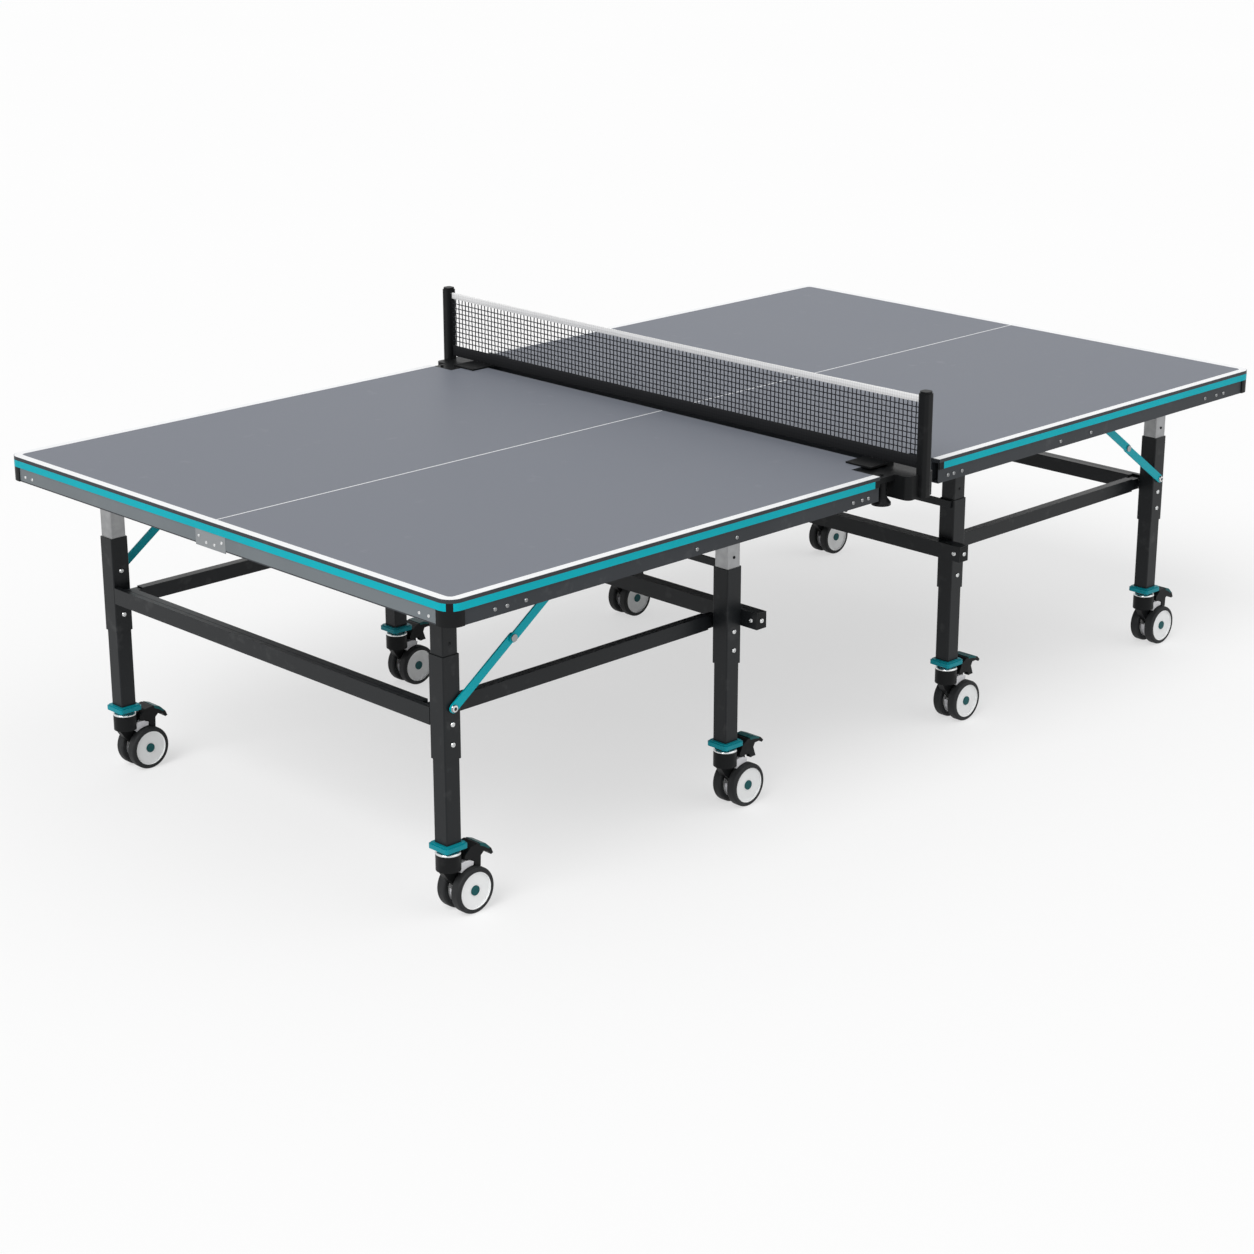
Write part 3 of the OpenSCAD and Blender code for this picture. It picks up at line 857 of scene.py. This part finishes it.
def corner_strips(side):
    cx = reach(f"{side}_board")[1] - CORNER_RADIUS
    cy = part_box(f"{side}_board")[1][1] - CORNER_RADIUS
    low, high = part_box(f"{side}_trim")
    flat = CORNER_BLOCK - CORNER_RADIUS
    bm = bmesh.new()
    for first, last, dx, dy in ((90, 90 - STRIP_SWEEP, -flat, 0), (0, STRIP_SWEEP, 0, -flat)):
        out = arc(cx, cy, CORNER_RADIUS + STRIP_PROUD, first, last, STRIP_STEPS)
        back = arc(cx, cy, CORNER_RADIUS - STRIP_PROUD, first, last, STRIP_STEPS)
        outline = [(out[0][0] + dx, out[0][1] + dy)] + out
        outline += back[::-1] + [(back[0][0] + dx, back[0][1] + dy)]
        for turn in (1, -1):
            add_slab(bm, [(OUTWARD[side] * x, turn * y, low[2]) for x, y in outline],
                     (0, 0, high[2] - low[2]))
    return new_piece(f"{side}_corner_strips", bm, finish["trim"], f"{side}_top")


for side in SIDES:
    print(corner_strips(side).name, "made")

# %% [markdown]
# ## Screws
# Plated screws hold the tubes, the hinges and the corner blocks. Each is a low dome with
# a round socket. They are alike, so one function turns a whole row of them into one mesh
# that rides on the body they are screwed into. Separate objects would be slower to draw.

# %% Screw helpers
# radius and height of each ring, in parts of the head's radius
SCREW_SHAPE = [(0.98, 0), (1, 0.14), (0.86, 0.38), (0.55, 0.5), (0.45, 0.5), (0.42, 0.22)]


def screws(name, body, rows, radius, material="zinc"):
    """One mesh of screw heads. A row is (places, axis)."""
    profile = [(radius * wide, radius * tall) for wide, tall in SCREW_SHAPE]
    bm = bmesh.new()
    for places, axis in rows:
        for place in places:
            add_lathe(bm, profile, place, axis)
    return smooth(new_piece(name, bm, finish[material], body), 35)


def both_ways(places, out=1):
    """The same places on both sides of the table, facing out, or in where out is -1."""
    mirrored = [(x, -y, z) for x, y, z in places]
    return [(places, (0, -out, 0)), (mirrored, (0, out, 0))]


print("rings in a screw", len(SCREW_SHAPE))

# %% [markdown]
# ## Screws of the frames
# The leg sleeves have two screws on the outside and two on the inside, the upper tubes have
# the dots of their rivets, and the cross bar is bolted through its faces and its ends. Whole
# screws with threads could be made, but only the heads show, so the heads are all there is.

# %% Frame screws
LEG_SCREW = 0.0056
TUBE_DOT = 0.0036
BRACE_BOLT = 0.0085
FOOT_WIDE = 0.060
UPPER_TUBE = 0.040
LEG_SCREWS_OUT = (0.384, 0.428)
LEG_SCREWS_IN = (0.391, 0.496)
TUBE_DOTS = (0.600, 0.668)
BRACE_PIVOT_Z = 0.464
BAR_SCREW_IN = 0.018


def leg_screws(side, place, body):
    low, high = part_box(f"{side}_{place}_feet")
    leg_x = (low[0] + high[0]) / 2
    leg_y = low[1] + (FOOT_WIDE - LEG_SLEEVE) / 2
    rows = both_ways([(leg_x, leg_y, z) for z in LEG_SCREWS_OUT])
    rows += both_ways([(leg_x, leg_y + LEG_SLEEVE, z) for z in LEG_SCREWS_IN], -1)
    screws(f"{side}_{place}_leg_screws", body, rows, LEG_SCREW)
    tube_y = leg_y + (LEG_SLEEVE - UPPER_TUBE) / 2
    dots = both_ways([(leg_x, tube_y, z) for z in TUBE_DOTS])
    screws(f"{side}_{place}_tube_dots", body, dots, TUBE_DOT, "tube")


def bar_screws(side):
    low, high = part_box(f"{side}_cross_bar")
    z = (low[2] + high[2]) / 2
    ends = (low[1] + BAR_SCREW_IN, high[1] - BAR_SCREW_IN)
    rows = [([(low[0], y, z) for y in ends], (-1, 0, 0)),
            ([(high[0], y, z) for y in ends], (1, 0, 0))]
    rows += both_ways([((low[0] + high[0]) / 2, low[1], z)])
    screws(f"{side}_cross_bar_screws", f"{side}_base", rows, LEG_SCREW)


def brace_bolts(side):
    low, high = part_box(f"{side}_outer_feet")
    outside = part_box(f"{side}_brace_lowers")[0][1]
    end = ((low[0] + high[0]) / 2, outside, BRACE_PIVOT_Z)
    screws(f"{side}_brace_bolts", f"{side}_brace_lowers_body", both_ways([end]), BRACE_BOLT)


for side in SIDES:
    leg_screws(side, "inner", f"{side}_base")
    leg_screws(side, "outer", f"{side}_outer_frame")
    bar_screws(side)
    brace_bolts(side)
print("frame screws on", len(SIDES), "halves")

# %% [markdown]
# ## Screws of the rims
# Along each side of the apron the screws follow what they hold: hinge, cross rail and corner
# block. Their places are measured from the net and are not evenly spaced, so they are listed.

# %% Rim screws
RIM_SCREW = 0.0044
END_SCREW = 0.0036
RIM_UP = 0.018
RIM_ALONG = (0.139, 0.160, 0.190, 0.564, 0.685, 1.168, 1.218, 1.250)
END_ROW = (-0.700, -0.672, 0.672, 0.700)
PLATE_ROW = ((-0.040, 0.004), (-0.014, -0.006), (0.014, -0.006), (0.040, 0.004))


def rim_screws(side):
    out = OUTWARD[side]
    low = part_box(f"{side}_apron")[0]
    row_z = low[2] + RIM_UP
    rows = both_ways([(out * x, low[1], row_z) for x in RIM_ALONG])
    screws(f"{side}_rim_screws", f"{side}_top", rows, RIM_SCREW, "silver")
    face = reach(f"{side}_apron")[1]
    spots = [(out * (face + FACING), y, row_z) for y in END_ROW]
    spots += [(out * (face + PLATE), y, row_z + up) for y, up in PLATE_ROW]
    screws(f"{side}_end_screws", f"{side}_top", [(spots, (out, 0, 0))], END_SCREW)


for side in SIDES:
    rim_screws(side)
print("rim screws in a half", 2 * len(RIM_ALONG), "end screws", len(END_ROW) + len(PLATE_ROW))

# %% [markdown]
# ## Swivel rings and wheel covers
# Under the foot plate a bright swivel ring shows. A pale cover lies over the two wheels, and
# a pale drum between them, so that the fork looks closed from the side. They ride on the
# fork and turn with it. Painting them in the fork's own plastic would leave no edge between
# parts that are moulded apart.

# %% Swivel rings and wheel covers
# (radius, height above the floor)
RING = [(0.0238, 0.1400), (0.0274, 0.1404), (0.0276, 0.1418), (0.0248, 0.1452), (0.0222, 0.1459)]
RING_STEPS = 40
# the outlines below are (distance behind the stem, height above the floor)
AXLE = (0.045, 0.051)
COVER_INNER = 0.0525
COVER_FROM, COVER_TO = 123, 85
COVER_TOP = [(0.0515, 0.1120), (0.0380, 0.1185), (0.0300, 0.1190), (0.0160, 0.1175)]
COVER_HALF = 0.0215
DRUM_INNER = 0.0325
DRUM_OUTER = 0.0360
DRUM_FROM, DRUM_TO = 175, 385
DRUM_STEPS = 24
DRUM_HALF = 0.0096
SHELL_EDGE = 0.0012


def swivel_ring(key):
    bm = bmesh.new()
    add_lathe(bm, RING, stem_of(key), (0, 0, 1), RING_STEPS)
    return smooth(new_piece(f"{key}_swivel_ring", bm, finish["zinc"], f"{key}_fork_body"), 60)


def hub_shell(key):
    """The pale cover over the wheels and the pale drum between them."""
    stem = stem_of(key)
    cover = arc(*AXLE, COVER_INNER, COVER_FROM, COVER_TO) + COVER_TOP
    drum = arc(*AXLE, DRUM_OUTER, DRUM_FROM, DRUM_TO, DRUM_STEPS)
    drum += arc(*AXLE, DRUM_INNER, DRUM_TO, DRUM_FROM, DRUM_STEPS)
    bm = bmesh.new()
    for outline, half in ((cover, COVER_HALF), (drum, DRUM_HALF)):
        points = [(stem.x + x, stem.y - half, z) for x, z in outline]
        add_slab(bm, points, (0, 2 * half, 0))
    return soften(new_piece(f"{key}_hub_shell", bm, finish["hub"], f"{key}_fork_body"), SHELL_EDGE)


for side in SIDES:
    for place in PLACES:
        swivel_ring(f"{side}_{place}")
        hub_shell(f"{side}_{place}")
print("rings and covers on", len(SIDES) * len(PLACES), "casters")

# %% [markdown]
# ## Pedal patches
# The brake pedal has a coloured patch over its tip so that a foot finds it. The outer casters
# are braked and the inner ones are not. Two outlines could be drawn, but they would have to
# be kept alike, so there is one for a pressed pedal. Where the pedal is raised, it is turned
# up about the pedal's pin.

# %% Pedal patches
PATCH = [(0.068, 0.1484), (0.084, 0.1422), (0.0965, 0.1304), (0.0915, 0.1285),
         (0.0815, 0.1362), (0.069, 0.1415)]
PATCH_MIDDLE = Vector((0.0825, 0.1375))
PATCH_PROUD = 0.0005
PATCH_EDGE = 0.001
PEDAL_PIN = (0.034, 0.128)
PEDAL_HALF = 0.022
RAISED = 22


def turned(x, z, centre, degrees):
    """A point of a side view, turned about a centre."""
    swing = math.radians(degrees)
    dx = x - centre[0]
    dz = z - centre[1]
    return (centre[0] + dx * math.cos(swing) - dz * math.sin(swing),
            centre[1] + dx * math.sin(swing) + dz * math.cos(swing))


def pedal_patch(key, turn):
    """The patch of one pedal, a little larger than the tip all round so that it lies over it."""
    stem = stem_of(key)
    outline = []
    for corner in PATCH:
        away = (Vector(corner) - PATCH_MIDDLE).normalized() * PATCH_PROUD
        px, pz = turned(corner[0] + away.x, corner[1] + away.y, PEDAL_PIN, turn)
        outline.append((stem.x + px, stem.y - PEDAL_HALF - PATCH_PROUD, pz))
    bm = bmesh.new()
    add_slab(bm, outline, (0, 2 * (PEDAL_HALF + PATCH_PROUD), 0))
    return soften(new_piece(f"{key}_pedal_patch", bm, finish["cap"], f"{key}_pedal_body"), PATCH_EDGE)


for side in SIDES:
    for place in PLACES:
        pedal_patch(f"{side}_{place}", 0 if place.startswith("outer") else RAISED)
print("pedal patches", len(SIDES) * len(PLACES))

# %% [markdown]
# ## Floor
# The table stands on a pale seamless floor. The floor gives the camera part of its white by
# itself, so that the shadow under the table stays faint, and the steel mirrors that white.
# A white wall would need a bend where it meets the floor, and it would hide other views.

# %% Floor
FLOOR_WHITE = 0.58
FLOOR_REACH = 60


def seen_rays(b):
    """1 for the rays that show the background: those of the camera, of mirrors and of glass."""
    kinds = [b.node("ShaderNodeLightPath", out=name)
             for name in ("Is Camera Ray", "Is Glossy Ray", "Is Transmission Ray")]
    return b.sum("MINIMUM", kinds[0] + kinds[1] + kinds[2], 1.0)


def floor_finish():
    b = Bench("pale floor", Roughness=0.95, Specular_IOR_Level=0.0)
    cloud = b.noise(0.4, 2)
    b.set("Base Color", b.mix(cloud, (0.94, 0.94, 0.94), (0.96, 0.96, 0.96)))
    glow = b.node("ShaderNodeEmission", {}, {"Color": (1, 1, 1), "Strength": 1.0})
    b.output(b.node("ShaderNodeMixShader", {}, {0: seen_rays(b) * FLOOR_WHITE,
                                                1: Wire(b, b.shader.outputs[0]), 2: glow}))
    return b.material


floor_mesh = bpy.data.meshes.new("floor")
floor_mesh.from_pydata([(-FLOOR_REACH, -FLOOR_REACH, 0), (FLOOR_REACH, -FLOOR_REACH, 0),
                        (FLOOR_REACH, FLOOR_REACH, 0), (-FLOOR_REACH, FLOOR_REACH, 0)],
                       [], [(0, 1, 2, 3)])
floor_mesh.materials.append(floor_finish())
floor = bpy.data.objects.new("floor", floor_mesh)
bpy.context.collection.objects.link(floor)
print("floor reaches", FLOOR_REACH, "m")

# %% [markdown]
# ## Suns and sky
# Broad suns and an even sky light every part of the floor alike, where lamps near the table
# would leave its far side grey. The sky is dimmer as a light than as a background, so the
# white that the camera sees doesn't wash out the colours.

# %% Suns and sky
# name, where the light comes from, strength, width in degrees
SUNS = [("key", (-0.75, -0.20, 0.80), 1.75, 35),
        ("fill", (0.35, -0.75, 0.80), 0.50, 60)]
SKY_LIGHT = 0.50


def add_sun(name, towards, strength, spread):
    data = bpy.data.lights.new(name, "SUN")
    data.energy = strength
    data.angle = math.radians(spread)
    obj = bpy.data.objects.new(name, data)
    obj.rotation_euler = Vector(towards).to_track_quat("Z", "Y").to_euler()
    bpy.context.collection.objects.link(obj)


for settings in SUNS:
    add_sun(*settings)

world = bpy.data.worlds.new("studio")
bpy.context.scene.world = world
world.use_nodes = True
sky = Tree(world.node_tree, "ShaderNodeOutputWorld")
lit = sky.node("ShaderNodeBackground", {}, {"Color": (1, 1, 1), "Strength": SKY_LIGHT})
shown = sky.node("ShaderNodeBackground", {}, {"Color": (1, 1, 1), "Strength": 1.0})
sky.output(sky.node("ShaderNodeMixShader", {}, {0: seen_rays(sky), 1: lit, 2: shown}))
bpy.context.scene.view_settings.view_transform = "Standard"
print("suns", len(SUNS), "sky", SKY_LIGHT)
